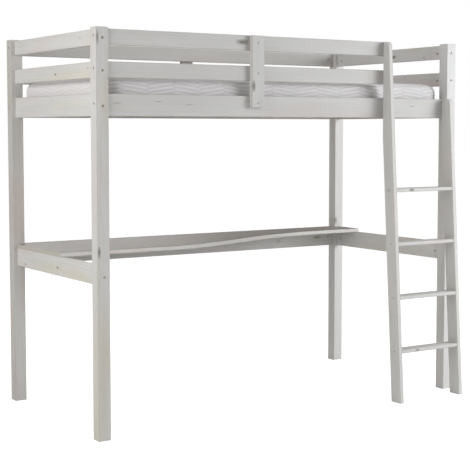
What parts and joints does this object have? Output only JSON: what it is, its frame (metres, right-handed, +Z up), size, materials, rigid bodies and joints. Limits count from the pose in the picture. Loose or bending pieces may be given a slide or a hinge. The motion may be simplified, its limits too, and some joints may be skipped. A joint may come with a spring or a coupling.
{
  "type": "loft bed with desk",
  "caption": "High sleeper bed in whitewashed pine with guard rails, slatted base and mattress, a leaning ladder at the front right and an S-fronted desk board along the back under the bed.",
  "frame": {"origin": "on the floor, at the middle of the plan of the bounding box (posts, ladder feet and back batten included)", "axes": "+X along the bed towards the ladder end, -Y the front where the ladder stands, +Z up"},
  "size_m": [2, 1.1234, 1.75],
  "materials": {
    "washed_pine": "pale grey whitewash on knotty pine, matt",
    "washed_pine_board": "pale grey whitewash on a glued pine board, matt",
    "bare_pine": "sawn and planed pine, unfinished",
    "dowel_beech": "fluted beech dowel, unfinished",
    "bolt_brass": "yellow-passivated steel, dull",
    "zinc_steel": "bright zinc plate",
    "screw_steel": "zinc-plated steel, dull",
    "mattress_cover": "quilted pale grey knit"
  },
  "bodies": {
    "frame": {"back_guard_batten": "washed_pine", "back_guard_lower": "washed_pine", "back_guard_top": "washed_pine", "back_side_rail": "washed_pine", "back_slat_cleat": "washed_pine", "barrel_nuts": "zinc_steel", "batten_screws": "screw_steel", "cleat_screws": "screw_steel", "desk_back_rail": "washed_pine", "desk_bracket_screws": "screw_steel", "desk_brackets": "zinc_steel", "desk_top": "washed_pine_board", "end_rail_bolts": "bolt_brass", "front_guard_batten": "washed_pine", "front_guard_lower": "washed_pine", "front_guard_top": "washed_pine", "front_side_rail": "washed_pine", "front_slat_cleat": "washed_pine", "ladder_mounting_screws": "screw_steel", "ladder_step_1": "washed_pine", "ladder_step_2": "washed_pine", "ladder_step_3": "washed_pine", "ladder_step_4": "washed_pine", "ladder_step_screws": "screw_steel", "ladder_stile_left": "washed_pine", "ladder_stile_right": "washed_pine", "left_end_bed_rail": "washed_pine", "left_end_desk_rail": "washed_pine", "left_end_middle_rail": "washed_pine", "left_end_top_rail": "washed_pine", "long_rail_bolts": "bolt_brass", "post_back_left": "washed_pine", "post_back_right": "washed_pine", "post_front_left": "washed_pine", "post_front_right": "washed_pine", "right_end_bed_rail": "washed_pine", "right_end_desk_rail": "washed_pine", "right_end_middle_rail": "washed_pine", "right_end_top_rail": "washed_pine", "slat_01": "bare_pine", "slat_02": "bare_pine", "slat_03": "bare_pine", "slat_04": "bare_pine", "slat_05": "bare_pine", "slat_06": "bare_pine", "slat_07": "bare_pine", "slat_08": "bare_pine", "slat_09": "bare_pine", "slat_10": "bare_pine", "slat_11": "bare_pine", "slat_12": "bare_pine", "slat_13": "bare_pine", "slat_14": "bare_pine", "slat_screws": "screw_steel", "wooden_dowels": "dowel_beech"},
    "mattress": {"mattress": "mattress_cover"}
  },
  "joints": [
    {"name": "mattress_lift", "type": "slide", "parent": "frame", "child": "mattress", "axis": [0, 0, 1], "range_m": [0, 0.35]}
  ]
}
